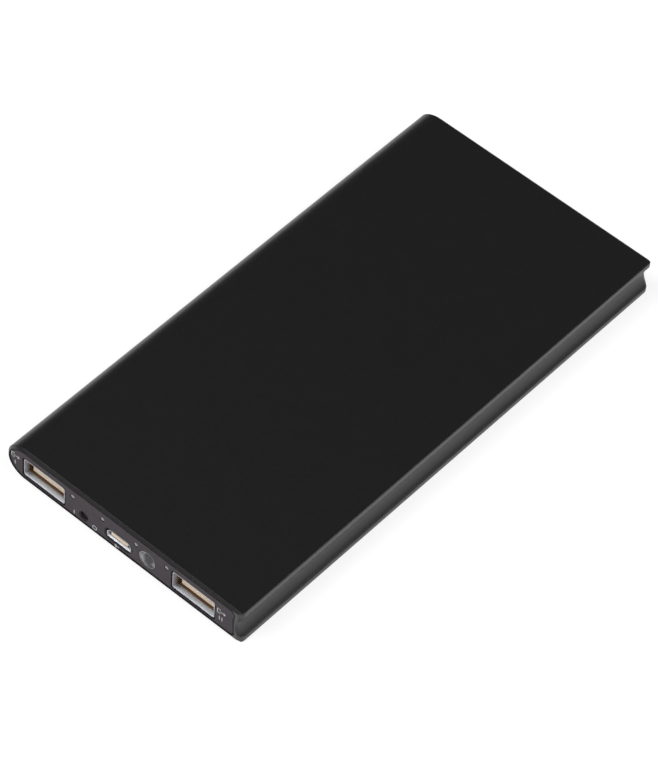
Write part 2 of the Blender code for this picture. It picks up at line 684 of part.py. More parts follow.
def make_battery(finishes):
    for level, (z_low, z_high) in CELL_Z.items():
        place(f"battery_cell_{level}", cell_mesh(z_low, z_high), finishes["cell_foil"])
    gap_low, gap_high = CELL_Z["lower"][1], CELL_Z["upper"][0]
    pad = block((-26, 25), (-38, 62), (gap_low + 0.05, gap_high - 0.05))
    place("cell_adhesive_pad", pad, finishes["foam_grey"])
    center_x = sum(CELL_X) / 2
    width = CELL_X[1] - CELL_X[0]
    height = CELL_Z["upper"][1] - CELL_Z["lower"][0]
    outer = rounded_rectangle((center_x, MID_Z), (width + 0.4, height + 0.4), 0.75)
    inner = rounded_rectangle((center_x, MID_Z), (width + 0.2, height + 0.2), 0.65)
    place("battery_tape_band", plate(outer, [inner], 2.0, 22.0), finishes["film_amber"])
    foam = block((-28, 27), (CELL_Y[1] + 0.3, -CHANNEL_END - 0.2), (1.5, 9.5))
    place("battery_end_foam", foam, finishes["foam_grey"])


def lead_mesh(side):
    """A short insulated wire from the board's rear edge up to a cell tab; side is -1 or 1."""
    board_end = CHANNEL_END + BOARD_DEPTH
    low = PART_BASE + LEAD_RADIUS
    end = (side * TAB_X, TAB_FRONT - LEAD_RADIUS - 0.15, 5.6)
    start = (side * (TAB_X - 4), board_end - 2.2, low)
    bend = (side * (TAB_X - 2.2), board_end - 0.8, low + 0.6)
    return tube(smooth_route([start, bend, end], 4), LEAD_RADIUS)


def smooth_route(route, steps):
    """Points on a Catmull-Rom curve through the route's points."""
    points = [Vector(point) for point in route]
    ends = [2 * points[0] - points[1], *points, 2 * points[-1] - points[-2]]
    smooth = [points[0]]
    for before, start, end, after in zip(ends, ends[1:], ends[2:], ends[3:]):
        for step in range(1, steps + 1):
            t = step / steps
            linear = (end - before) * t
            square = (2 * before - 5 * start + 4 * end - after) * t**2
            cube = (3 * start - before - 3 * end + after) * t**3
            smooth.append(start + (linear + square + cube) / 2)
    return smooth


def make_battery_connections(finishes):
    """The tabs that join the cells, their two wires, and the protection board on the upper terrace."""
    for name, side, wire in (("positive", 1, "wire_red"), ("negative", -1, "wire_black")):
        place(f"battery_lead_{name}", lead_mesh(side), finishes[wire])
        x = sorted((side * (TAB_X - 2), side * (TAB_X + 2)))
        tab = block(x, (TAB_FRONT, TAB_FRONT + 0.25), (2.8, 8.2))
        place(f"battery_tab_{name}", tab, finishes["nickel_steel"])
    board = block((-12, 12), (TAB_FRONT + 0.55, CELL_Y[0] - 0.3), (8.15, 8.85))
    place("protection_board", board, finishes["board_green"])


def main():
    for leftover in list(bpy.data.objects):
        bpy.data.objects.remove(leftover, do_unlink=True)
    finishes = make_materials()
    make_sleeve(finishes)
    make_front_plate(finishes)
    make_front_frame(finishes)
    make_rear_end(finishes)
    make_screws(finishes)
    make_board(finishes)
    make_usb_sockets(finishes)
    make_micro_socket(finishes)
    make_torch(finishes)
    make_button(finishes)
    make_switch(finishes)
    make_indicators(finishes)
    make_power_parts(finishes)
    make_battery(finishes)
    make_battery_connections(finishes)


main()
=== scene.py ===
"""The looks of a slim book-shaped power bank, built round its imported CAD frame.

The visible CAD solids are replaced with finer ones: the aluminium sleeve, the two end plates, the sockets'
shells and insulators, the torch lens, the button and the light pipes. The parts inside keep their CAD shape
and get better materials. Lengths are in millimetres here; MM turns them into metres.
"""

import json
import math

import bmesh
import bpy
from mathutils import Matrix, Vector


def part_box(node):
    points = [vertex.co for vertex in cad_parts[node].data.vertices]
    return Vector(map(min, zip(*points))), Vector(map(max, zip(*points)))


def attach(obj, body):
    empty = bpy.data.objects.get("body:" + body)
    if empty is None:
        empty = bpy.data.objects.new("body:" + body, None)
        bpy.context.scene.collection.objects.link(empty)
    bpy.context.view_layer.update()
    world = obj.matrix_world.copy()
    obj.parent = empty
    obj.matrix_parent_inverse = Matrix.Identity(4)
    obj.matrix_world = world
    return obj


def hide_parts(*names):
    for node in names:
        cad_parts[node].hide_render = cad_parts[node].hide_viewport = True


MM = 0.001

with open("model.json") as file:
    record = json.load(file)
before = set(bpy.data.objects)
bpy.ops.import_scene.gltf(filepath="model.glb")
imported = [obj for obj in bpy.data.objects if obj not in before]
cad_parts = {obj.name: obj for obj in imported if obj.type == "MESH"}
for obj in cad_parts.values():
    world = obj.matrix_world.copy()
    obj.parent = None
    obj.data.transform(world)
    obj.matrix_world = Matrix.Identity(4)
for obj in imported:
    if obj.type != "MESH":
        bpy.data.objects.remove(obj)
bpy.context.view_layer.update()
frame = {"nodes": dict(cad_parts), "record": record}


def cad(node):
    """The lowest corner, highest corner and middle of a CAD node, in millimetres."""
    low, high = (Vector(corner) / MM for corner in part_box(node))
    return low, high, (low + high) / 2


# Driving dimensions, from the frame
CASE_LOW, CASE_HIGH, _ = cad("case_sleeve")
LENGTH = CASE_HIGH.y - CASE_LOW.y
WIDTH = CASE_HIGH.x - CASE_LOW.x
THICKNESS = CASE_HIGH.z - CASE_LOW.z
HALF = LENGTH / 2
MID_Z = THICKNESS / 2
PLATE_FACE = cad("front_panel")[0].y
PLATE_BACK = cad("front_panel")[1].y
FRAME_FACE = cad("front_frame")[0].y
FRAME_BACK = cad("front_frame")[1].y

# The sleeve's section
WALL = 0.7
SPINE_DEPTH = 6.0
LIP = 1.5
HOLLOW_DEPTH = 1.6
LIP_ROUND = 0.28
HOLLOW_EDGE = (0.08, 0.12)  # the rounding where the hollow meets a cover, along X and Z
END_CHAMFER = 0.63
CORNER_RADIUS = 1.5
HOLLOW_END_ROUND = (0.5, 1.3)  # how far the hollowed side curves in towards the end, and over what length
INNER_CORNER = 1.7
INNER_BOW = 0.3
PLATE_GAP = 0.45
CHANNEL_RADIUS = 1.5
CHANNEL_BORE = 0.65
CHANNEL_WEB = 1.6  # the thickness of the web to the wall

# Openings in the front plate: centres from the frame, standard sizes
USB_SHELL = (13.1, 5.72)
USB_SHEET = 0.3
USB_CUTOUT = (13.8, 6.4)
USB_FLARE = 0.14  # how far the mouth's lips spread
USB_LIP = 0.95  # how deep the lips are
USB_FOOT_DEPTHS = (6.0, 11.0)  # behind the mouth
USB_FOOT = (1.0, 1.8, 0.3)  # reach past the shell, length and thickness
USB_BLOCK_DEPTH = 10.35  # from the mouth to the block behind the tongue
TONGUE_SIZE = (10.3, 1.84)
TONGUE_FORWARD = 0.2  # how far the visible tongue stands in front of the CAD one
TONGUE_EDGE = 0.12
LINER_SHEET = 0.12
MICRO_SHELL = (7.5, 2.6)
MICRO_SHEET = 0.25
MICRO_FLARE = 0.18
MICRO_LIP = 0.7
MICRO_CUTOUT = (8.5, 3.4)
MICRO_TONGUE = (5.2, 0.95)
MICRO_TONGUE_RISE = 0.175
MICRO_BLOCK_DEPTH = 4.0
TORCH_RADIUS = 2.5
TORCH_FLANGE = 2.9
TORCH_HOLE = 2.58
TORCH_DOME = 0.25
# The grey ring round the torch lens is a painted highlight
TORCH_HIGHLIGHT_RING = (2.53, 2.36)  # outer and inner radius
BUTTON_RADIUS = 1.05
BUTTON_FLANGE = 1.95
BUTTON_STEM = 0.85
BUTTON_HOLE = 1.2
PIPE_RADIUS = 0.6
PIPE_BEND = 0.8
PIPE_HOLE = 0.68

# A black band set in the gap between the sleeve and an end plate as painted shade of the gap: its
# clearance, and its depths behind the face
GAP_SHADE_CLEARANCE = 0.04
GAP_SHADE_DEPTHS = (0.14, 0.6)

# Printed marks
STROKE = 0.24
MARK_SIZE = 1.4
INPUT_MARK_SIZE = 0.75
BAR_HEIGHT = 1.4


# ---------------------------------------------------------------- outlines, as (x, z) points


def arc(center, radii, start, end, steps):
    """Points of an elliptical arc, both ends included; angles in degrees."""
    points = []
    for step in range(steps + 1):
        angle = math.radians(start + (end - start) * step / steps)
        points.append((center[0] + radii[0] * math.cos(angle), center[1] + radii[1] * math.sin(angle)))
    return points


def circle(center, radius, steps=48):
    return arc(center, (radius, radius), 0, 360, steps)[:-1]


def rounded_rectangle(center, size, radius, steps=8):
    """A rectangle of the given full size with every corner rounded."""
    half_x = size[0] / 2 - radius
    half_z = size[1] / 2 - radius
    points = []
    for quarter, (side_x, side_z) in enumerate(((1, 1), (-1, 1), (-1, -1), (1, -1))):
        corner = (center[0] + side_x * half_x, center[1] + side_z * half_z)
        points += arc(corner, (radius, radius), 90 * quarter, 90 * quarter + 90, steps)
    return points


def filleted(points, radius, steps=4):
    """An open line of 2D points with its inner corners rounded."""
    rounded = [points[0]]
    for before, corner, after in zip(points, points[1:], points[2:]):
        before, corner, after = Vector(before), Vector(corner), Vector(after)
        back = (before - corner).normalized()
        onward = (after - corner).normalized()
        half_angle = back.angle(onward) / 2
        room = min((before - corner).length, (after - corner).length) / 2
        reach = min(radius / math.tan(half_angle), room)
        start, end = corner + back * reach, corner + onward * reach
        for step in range(steps + 1):
            t = step / steps
            rounded.append(tuple(start * (1 - t) ** 2 + corner * 2 * t * (1 - t) + end * t**2))
    return rounded + [points[-1]]


def sleeve_section(inset, tip, hollow_shift):
    """The sleeve's outer section. inset moves the covers and the spine in, tip is where the covers end."""
    spine = arc((SPINE_DEPTH - WIDTH / 2, MID_Z), (SPINE_DEPTH - inset, MID_Z - inset), 90, 270, 56)
    half_chord = MID_Z - LIP
    radius = (half_chord**2 + HOLLOW_DEPTH**2) / (2 * HOLLOW_DEPTH)
    center_x = WIDTH / 2 - HOLLOW_DEPTH + radius
    radius += hollow_shift
    reach = math.degrees(math.acos((center_x - tip + HOLLOW_EDGE[0]) / radius))
    hollow = arc((center_x, MID_Z), (radius, radius), 180 + reach, 180 - reach, 28)
    low, high = inset, THICKNESS - inset
    edge = LIP_ROUND
    lower = arc((tip - edge, low + edge), (edge, edge), 270, 360, 5)
    lower += arc((tip - HOLLOW_EDGE[0], hollow[0][1] - HOLLOW_EDGE[1]), HOLLOW_EDGE, 0, 60, 2)
    upper = arc((tip - HOLLOW_EDGE[0], hollow[-1][1] + HOLLOW_EDGE[1]), HOLLOW_EDGE, -60, 0, 2)
    upper += arc((tip - edge, high - edge), (edge, edge), 0, 90, 5)
    return spine + lower + hollow + upper


def sleeve_end():
    """The sleeve's sections near an end, as (depth, section), from the rim inwards."""
    chamfer = [(END_CHAMFER + 0.06, 0.0), (END_CHAMFER, 0.0), (0.0, END_CHAMFER), (0.0, END_CHAMFER + 0.15)]
    profile = filleted(chamfer, 0.07)
    profile += [(0.0, share * CORNER_RADIUS) for share in (0.5, 0.6, 0.72, 0.86, 1.0)]
    sections = []
    for inset, depth in profile:
        toward_rim = 1 - depth / CORNER_RADIUS
        tip = WIDTH / 2 - CORNER_RADIUS * (1 - math.sqrt(max(0.0, 1 - toward_rim**2)))
        shift, length = HOLLOW_END_ROUND
        toward_rim = max(0.0, 1 - depth / length)
        hollow_shift = shift * (1 - math.sqrt(1 - toward_rim**2))
        sections.append((depth, sleeve_section(inset, tip, hollow_shift)))
    return sections


def cavity(clearance=0.0):
    """The sleeve's inner section, or with a clearance the outline of a plate that fits it."""
    gap = WALL + clearance
    spine = arc((SPINE_DEPTH - WIDTH / 2, MID_Z), (SPINE_DEPTH - gap, MID_Z - gap), 90, 270, 48)
    side = WIDTH / 2 - HOLLOW_DEPTH - WALL + INNER_BOW - clearance
    radius = INNER_CORNER - clearance
    corner_x = side - radius
    lower = arc((corner_x, gap + radius), (radius, radius), 270, 360, 12)
    upper = arc((corner_x, THICKNESS - gap - radius), (radius, radius), 0, 90, 12)
    bow = []
    half = MID_Z - gap - radius
    for step in range(1, 12):
        share = step / 6 - 1
        bow.append((side - INNER_BOW * (1 - share**2), MID_Z + half * share))
    return spine + lower + bow + upper


# ---------------------------------------------------------------- meshes, in millimetres


class Shape:
    """A bmesh with the few building moves that the pieces share."""

    def __init__(self):
        self.mesh = bmesh.new()

    def ring(self, outline, y):
        """A loop of vertices at depth y."""
        return [self.mesh.verts.new((x, y, z)) for x, z in outline]

    def bridge(self, near, far, closed=True):
        """Quads between two loops with the same number of vertices."""
        count = len(near)
        for i in range(count if closed else count - 1):
            following = (i + 1) % count
            self.mesh.faces.new((near[i], near[following], far[following], far[i]))

    def skin(self, sections):
        """Bridges a run of (y, outline) sections and returns the first and the last loop."""
        loops = [self.ring(outline, y) for y, outline in sections]
        for near, far in zip(loops, loops[1:]):
            self.bridge(near, far)
        return loops[0], loops[-1]

    def cap(self, loop):
        self.mesh.faces.new(loop)

    def fill(self, loops):
        """A flat face between loops: the first is the outside and the others are holes."""
        edges = []
        for loop in loops:
            for i, vertex in enumerate(loop):
                pair = (vertex, loop[(i + 1) % len(loop)])
                edges.append(self.mesh.edges.get(pair) or self.mesh.edges.new(pair))
        bmesh.ops.triangle_fill(self.mesh, use_beauty=True, edges=edges)

    def revolve(self, profile, center=(0.0, 0.0), steps=48):
        """A surface of revolution about a line along Y through center, from (radius, y) points."""
        loops = []
        for radius, y in profile:
            if radius < 1e-6:
                loops.append([self.mesh.verts.new((center[0], y, center[1]))])
            else:
                loops.append(self.ring(circle(center, radius, steps), y))
        for near, far in zip(loops, loops[1:]):
            if len(near) == 1 or len(far) == 1:
                tip, loop = (near, far) if len(near) == 1 else (far, near)
                for i in range(steps):
                    self.mesh.faces.new((tip[0], loop[i], loop[(i + 1) % steps]))
            else:
                self.bridge(near, far)

    def tube(self, outer, inner, y_start, y_end):
        """A closed ring along Y between two outlines."""
        near_outer, far_outer = self.skin([(y_start, outer), (y_end, outer)])
        near_inner, far_inner = self.skin([(y_start, inner), (y_end, inner)])
        self.fill([near_outer, near_inner])
        self.fill([far_outer, far_inner])

    def prism(self, outline, y_start, y_end, edge=0.0):
        """A closed bar along Y, with its two end edges chamfered when edge is set."""
        if not edge:
            near, far = self.skin([(y_start, outline), (y_end, outline)])
        else:
            small = shrunk(outline, edge)
            near_part = [(y_start, small), (y_start + edge, outline)]
            far_part = [(y_end - edge, outline), (y_end, small)]
            near, far = self.skin(near_part + far_part)
        self.cap(near)
        self.cap(far)

    def box(self, low, high, edge=0.0):
        """A block between two (x, y, z) corners, chamfered like a prism."""
        corners = [(low[0], low[2]), (high[0], low[2]), (high[0], high[2]), (low[0], high[2])]
        self.prism(corners, low[1], high[1], edge)

    def finished(self, name, sharp_angle=40):
        """The mesh in metres, smooth except where faces meet at more than sharp_angle degrees."""
        bmesh.ops.recalc_face_normals(self.mesh, faces=self.mesh.faces)
        self.mesh.transform(Matrix.Scale(MM, 4))
        data = bpy.data.meshes.new(name)
        self.mesh.to_mesh(data)
        self.mesh.free()
        data.shade_smooth()
        data.set_sharp_from_angle(angle=math.radians(sharp_angle))
        return data


def shrunk(outline, by):
    """A convex outline moved in towards its middle by a set distance along each axis."""
    xs, zs = [x for x, _ in outline], [z for _, z in outline]
    mid_x, mid_z = (min(xs) + max(xs)) / 2, (min(zs) + max(zs)) / 2
    scale_x = 1 - 2 * by / (max(xs) - min(xs))
    scale_z = 1 - 2 * by / (max(zs) - min(zs))
    return [(mid_x + (x - mid_x) * scale_x, mid_z + (z - mid_z) * scale_z) for x, z in outline]


def add(name, shape, finish, body="bank", replaces=(), sharp_angle=40):
    """Puts a shape in the scene as a piece that rides on a body, shaded by area-weighted normals."""
    data = shape.finished(name, sharp_angle)
    data.materials.append(finish)
    piece = bpy.data.objects.new(name, data)
    bpy.context.scene.collection.objects.link(piece)
    weighted = piece.modifiers.new("weighted_normals", "WEIGHTED_NORMAL")
    weighted.keep_sharp = True
    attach(piece, body)
    if replaces:
        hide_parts(*replaces)


# ---------------------------------------------------------------- materials


class Look:
    """A procedural Principled material, built up from noise in object coordinates."""

    def __init__(self, name, color, roughness, **sockets):
        self.material = bpy.data.materials.new(name)
        self.material.use_nodes = True
        self.material.diffuse_color = (*color, 1.0)
        self.nodes = self.material.node_tree.nodes
        self.links = self.material.node_tree.links
        self.shader = self.nodes["Principled BSDF"]
        self.shader.inputs["Base Color"].default_value = (*color, 1.0)
        self.shader.inputs["Roughness"].default_value = roughness
        for socket, value in sockets.items():
            self.shader.inputs[socket.replace("_", " ")].default_value = value
        self.place = self.nodes.new("ShaderNodeTexCoord").outputs["Object"]
        self.normal = None

    def noise(self, size, stretch=(1, 1, 1), detail=2.0):
        """Noise whose features are about size millimetres across, stretched along the axes."""
        mapping = self.nodes.new("ShaderNodeMapping")
        mapping.inputs["Scale"].default_value = [1 / (size * MM * factor) for factor in stretch]
        texture = self.nodes.new("ShaderNodeTexNoise")
        texture.inputs["Scale"].default_value = 1.0
        texture.inputs["Detail"].default_value = detail
        self.links.new(self.place, mapping.inputs["Vector"])
        self.links.new(mapping.outputs["Vector"], texture.inputs["Vector"])
        return texture.outputs["Fac"]

    def mapped(self, value, low, high, start=0.3, end=0.7):
        """The value's range from start to end, mapped to low to high."""
        ranged = self.nodes.new("ShaderNodeMapRange")
        ranged.inputs["From Min"].default_value = start
        ranged.inputs["From Max"].default_value = end
        ranged.inputs["To Min"].default_value = low
        ranged.inputs["To Max"].default_value = high
        self.links.new(value, ranged.inputs["Value"])
        return ranged.outputs["Result"]

    def vary_roughness(self, value, low, high):
        self.links.new(self.mapped(value, low, high), self.shader.inputs["Roughness"])

    def vary_color(self, value, dark, light, start=0.3, end=0.7):
        """Blends the base colour between two colours by a noise value."""
        ramp = self.nodes.new("ShaderNodeValToRGB")
        first, last = ramp.color_ramp.elements
        first.position, first.color = start, (*dark, 1.0)
        last.position, last.color = end, (*light, 1.0)
        self.links.new(value, ramp.inputs["Fac"])
        self.links.new(ramp.outputs["Color"], self.shader.inputs["Base Color"])

    def bump(self, value, height, strength=1.0):
        """Adds relief height millimetres deep. Several calls stack."""
        bump = self.nodes.new("ShaderNodeBump")
        bump.inputs["Strength"].default_value = strength
        bump.inputs["Distance"].default_value = height * MM
        self.links.new(value, bump.inputs["Height"])
        if self.normal:
            self.links.new(self.normal, bump.inputs["Normal"])
        self.normal = bump.outputs["Normal"]
        self.links.new(self.normal, self.shader.inputs["Normal"])


def tint(color, factor):
    return tuple(channel * factor for channel in color)


def mottled(name, color, roughness, size, spread=0.12, grain=0.0, **sockets):
    """A look with cloudy colour and roughness variation and, where grain is set, a fine relief."""
    look = Look(name, color, roughness, **sockets)
    clouds = look.noise(size, detail=4)
    look.vary_color(clouds, tint(color, 1 - spread), tint(color, 1 + spread))
    look.vary_roughness(look.noise(size * 0.6, detail=3), roughness * 0.85, roughness * 1.15)
    if grain:
        look.bump(look.noise(size * 0.12, detail=3), grain)
    return look.material


def anodised_aluminium():
    """Black anodising over a fine blasted surface, with faint draw lines along the extrusion."""
    color = (0.0062, 0.0059, 0.0061)
    look = Look("anodised_black", color, 0.36, Specular_IOR_Level=0.52)
    look.vary_color(look.noise(6, detail=5), tint(color, 0.94), tint(color, 1.06))
    look.vary_roughness(look.noise(1.1, detail=4), 0.34, 0.38)
    look.bump(look.noise(0.13, detail=2), 0.002)
    look.bump(look.noise(0.3, stretch=(1, 200, 1), detail=1), 0.0004)
    return look.material


def plate_plastic():
    """Charcoal plastic with the fine even texture of a spark-eroded mould."""
    color = (0.0262, 0.0172, 0.0246)
    look = Look("plate_plastic", color, 0.42, Specular_IOR_Level=0.18)
    look.vary_color(look.noise(5, detail=4), tint(color, 0.93), tint(color, 1.07))
    look.vary_roughness(look.noise(1.2, detail=3), 0.38, 0.47)
    look.bump(look.noise(0.11, detail=3), 0.003)
    return look.material


def nickel_steel():
    """Pressed sheet with a satin nickel plating and fine rolling lines."""
    color = (0.52, 0.54, 0.57)
    look = Look("nickel_steel", color, 0.42, Metallic=0.75)
    look.vary_color(look.noise(1.6, detail=4), tint(color, 0.9), tint(color, 1.05))
    look.vary_roughness(look.noise(0.8, stretch=(1, 5, 1), detail=4), 0.38, 0.48)
    look.bump(look.noise(0.09, stretch=(1, 30, 1), detail=2), 0.0008)
    return look.material


def ivory_plastic():
    """The sockets' heat-resistant ivory plastic, slightly glassy and flow-marked."""
    color = (0.74, 0.6, 0.46)
    look = Look("ivory_plastic", color, 0.45, Subsurface_Weight=0.15, Subsurface_Scale=0.0004)
    look.vary_color(look.noise(2.2, stretch=(2, 1, 1), detail=4), tint(color, 0.9), tint(color, 1.06))
    look.vary_roughness(look.noise(0.7, detail=3), 0.38, 0.52)
    look.bump(look.noise(0.1, detail=2), 0.0015)
    return look.material


def painted_shade_liner():
    """The moulding that lines the socket behind its lips, coloured dark brown as painted shade: the ivory
    plastic as it looks in the socket's shadow.
    """
    # Painted shade: a dark brown that stands for the ivory plastic in shadow
    color = (0.14, 0.072, 0.034)
    look = Look("painted_shade_liner", color, 0.5)
    look.vary_color(look.noise(1.4, detail=4), tint(color, 0.8), tint(color, 1.15))
    look.vary_roughness(look.noise(0.6, detail=3), 0.42, 0.6)
    look.bump(look.noise(0.1, detail=2), 0.002)
    return look.material


def clear_epoxy():
    """Cast epoxy given a nearly opaque dark colour as painted shade of the inside, blotched with light grey
    as painted reflections of the cup and the leads.
    """
    look = Look("clear_epoxy", (0.06, 0.06, 0.065), 0.08, Transmission_Weight=0.08, Specular_IOR_Level=0.3)
    # Painted shade and reflections: near black for the dark inside, light grey blotches for the cup and
    # leads seen through the lens
    look.vary_color(look.noise(2.6, detail=2), (0.004, 0.004, 0.005), (0.42, 0.42, 0.44), 0.47, 0.64)
    look.vary_roughness(look.noise(0.9, detail=2), 0.04, 0.12)
    look.bump(look.noise(2.4, detail=1), 0.25)
    return look.material


def light_pipe():
    """Milky plastic, slightly cloudy."""
    color = (0.3, 0.3, 0.32)
    look = Look("light_pipe", color, 0.45, Transmission_Weight=0.08, IOR=1.49)
    look.vary_color(look.noise(0.5, detail=3), tint(color, 0.92), color)
    look.vary_roughness(look.noise(0.15, detail=2), 0.28, 0.45)
    look.bump(look.noise(0.08, detail=2), 0.002)
    return look.material


def printed_ink():
    """Thin pad-printed ink, a little uneven where the plate's texture shows through."""
    color = (0.5, 0.5, 0.52)
    look = Look("printed_ink", color, 0.6)
    look.vary_color(look.noise(0.22, detail=4), tint(color, 0.7), tint(color, 1.15), 0.35, 0.6)
    look.vary_roughness(look.noise(0.3, detail=2), 0.5, 0.7)
    look.bump(look.noise(0.1, detail=3), 0.002)
    return look.material


def circuit_board():
    """Green solder mask with the ghost of copper tracks under it."""
    look = Look("board_green", (0.012, 0.13, 0.045), 0.32, Coat_Weight=0.4)
    bands = look.noise(1.5, stretch=(1, 9, 1), detail=1)
    look.vary_color(bands, (0.009, 0.1, 0.036), (0.018, 0.17, 0.062), 0.46, 0.5)
    look.vary_roughness(look.noise(0.8, detail=3), 0.27, 0.4)
    look.bump(bands, 0.012, 0.6)
    return look.material


def pouch_foil():
    """Laminated battery foil, dull silver with soft creases."""
    color = (0.6, 0.61, 0.63)
    look = Look("cell_foil", color, 0.36, Metallic=1.0)
    look.vary_color(look.noise(12, detail=4), tint(color, 0.9), tint(color, 1.06))
    look.vary_roughness(look.noise(3, detail=4), 0.3, 0.46)
    look.bump(look.noise(7, stretch=(1, 3, 1), detail=2), 0.06, 0.5)
    look.bump(look.noise(0.25, detail=2), 0.002)
    return look.material


def make_looks():
    """One material for each of the record's slots, and for the ink, the liner's painted shade, the black
    bands of painted gap shade and the painted highlight ring round the torch.
    """
    gap_shade_gloss = {"Specular_IOR_Level": 0.25}
    button_gloss = {"Specular_IOR_Level": 0.2}
    button_color = (0.006, 0.006, 0.0065)
    return {
        "painted_shade_liner": painted_shade_liner(),
        "anodised_black": anodised_aluminium(),
        "plate_plastic": plate_plastic(),
        "nickel_steel": nickel_steel(),
        "ivory_plastic": ivory_plastic(),
        "clear_epoxy": clear_epoxy(),
        "light_pipe": light_pipe(),
        "printed_ink": printed_ink(),
        # A grey ring round the torch lens: a painted highlight
        "torch_highlight_ring": mottled("torch_highlight_ring", (0.2, 0.2, 0.21), 0.3, 0.6, spread=0.3, grain=0.002),
        "board_green": circuit_board(),
        "cell_foil": pouch_foil(),
        "frame_plastic": mottled("frame_plastic", (0.011, 0.011, 0.011), 0.55, 3, grain=0.004),
        # Near-black band in the gaps round the end plates: painted shade of the gap
        "gap_shade_black": mottled("gap_shade_black", (0.004, 0.004, 0.004), 0.5, 3, grain=0.002, **gap_shade_gloss),
        "screw_steel": mottled("screw_steel", (0.34, 0.34, 0.36), 0.34, 0.8, grain=0.002, Metallic=1.0),
        "film_amber": mottled("film_amber", (0.5, 0.22, 0.03), 0.22, 4, Coat_Weight=0.5),
        "gold_contact": mottled("gold_contact", (0.86, 0.6, 0.24), 0.24, 0.7, grain=0.001, Metallic=1.0),
        "led_leads": mottled("led_leads", (0.78, 0.78, 0.76), 0.2, 0.6, grain=0.002, Metallic=1.0),
        "button_plastic": mottled("button_plastic", button_color, 0.45, 1.5, grain=0.003, **button_gloss),
        "chip_black": mottled("chip_black", (0.022, 0.022, 0.023), 0.5, 0.9, grain=0.006),
        "led_white": mottled("led_white", (0.78, 0.76, 0.66), 0.4, 0.5, spread=0.06),
        "ferrite_grey": mottled("ferrite_grey", (0.075, 0.076, 0.08), 0.65, 0.7, spread=0.2, grain=0.01),
        "capacitor_tan": mottled("capacitor_tan", (0.42, 0.28, 0.16), 0.4, 0.9, grain=0.002),
        "foam_grey": mottled("foam_grey", (0.12, 0.12, 0.125), 0.95, 0.7, spread=0.25, grain=0.05),
        "wire_red": mottled("wire_red", (0.45, 0.015, 0.015), 0.4, 1.2, grain=0.003),
        "wire_black": mottled("wire_black", (0.015, 0.015, 0.015), 0.4, 1.2, grain=0.003),
    }


# ---------------------------------------------------------------- the sleeve and the end plates


def make_sleeve(looks):
    """The extrusion: chamfered rims, rounded cover corners, and the tunnel with its screw channels."""
    shape = Shape()
    end = sleeve_end()
    sections = [(depth - HALF, outline) for depth, outline in end]
    sections += [(HALF - depth, outline) for depth, outline in reversed(end)]
    front_rim, rear_rim = shape.skin(sections)
    lip = 0.07
    inner = [(-HALF, cavity(-lip)), (lip - HALF, cavity()), (HALF - lip, cavity()), (HALF, cavity(-lip))]
    front_mouth, rear_mouth = shape.skin(inner)
    shape.fill([front_rim, front_mouth])
    shape.fill([rear_rim, rear_mouth])
    channel_end = HALF + FRAME_BACK - 0.15
    for side in ("left", "right"):
        middle = cad(f"front_screw_{side}")[2]
        add_channel(shape, middle.x, channel_end)
    add("sleeve", shape, looks["anodised_black"], replaces=["case_sleeve"])


def add_channel(shape, center_x, end_inset):
    """A round screw channel with a bore and a web to the nearer wall."""
    start, end = end_inset - HALF, HALF - end_inset
    center = (center_x, MID_Z)
    outer = [shape.ring(circle(center, CHANNEL_RADIUS, 32), y) for y in (start, end)]
    bore = [shape.ring(circle(center, CHANNEL_BORE, 32), y) for y in (start, end)]
    shape.bridge(*outer)
    shape.bridge(*bore)
    shape.bridge(outer[0], bore[0])
    shape.bridge(outer[1], bore[1])
    side = math.copysign(1, center_x)
    wall = WIDTH / 2 - WALL / 2 if side < 0 else WIDTH / 2 - HOLLOW_DEPTH - WALL / 2
    reach = sorted((center_x + side * (CHANNEL_RADIUS - 0.2), side * wall))
    low, high = MID_Z - CHANNEL_WEB / 2, MID_Z + CHANNEL_WEB / 2
    shape.box((reach[0], start, low), (reach[1], end, high))


def add_plate(shape, outline, holes, face, back):
    """A plate along Y. outline and each hole are (function of growth, edge chamfer) pairs."""
    inward = math.copysign(1, back - face)
    faces, backs = [], []
    for grown, edge, sign in [(*outline, -1), *((*hole, 1) for hole in holes)]:
        sections = [(face, grown(sign * edge)), (face + inward * edge, grown(0)), (back, grown(0))]
        near, far = shape.skin(sections)
        faces.append(near)
        backs.append(far)
    shape.fill(faces)
    shape.fill(backs)


def front_openings():
    """The front plate's openings, each as a function of growth with the width of its chamfer."""

    def rectangle(center, size, radius):
        def grown(grow):
            return rounded_rectangle(center, (size[0] + 2 * grow, size[1] + 2 * grow), radius + grow)

        return grown

    def round_hole(center, radius):
        return lambda grow: circle(center, radius + grow)

    openings = []
    for side in ("left", "right"):
        low, high, middle = cad(f"usb_{side}_shell")
        center = (middle.x, (low.z + high.z) / 2)
        openings.append((rectangle(center, USB_CUTOUT, 0.7), 0.16))
    middle = cad("micro_usb_shell")[2]
    openings.append((rectangle((middle.x, middle.z), MICRO_CUTOUT, MICRO_CUTOUT[1] / 2 - 0.01), 0.32))
    middle = cad("torch_led_lens")[2]
    openings.append((round_hole((middle.x, middle.z), TORCH_HOLE), 0.1))
    middle = cad("power_button")[2]
    openings.append((round_hole((middle.x, middle.z), BUTTON_HOLE), 0.38))
    for number in range(1, 5):
        _, high, middle = cad(f"light_pipe_{number}")
        openings.append((round_hole((middle.x, high.z - PIPE_RADIUS), PIPE_HOLE), 0.05))
    return openings


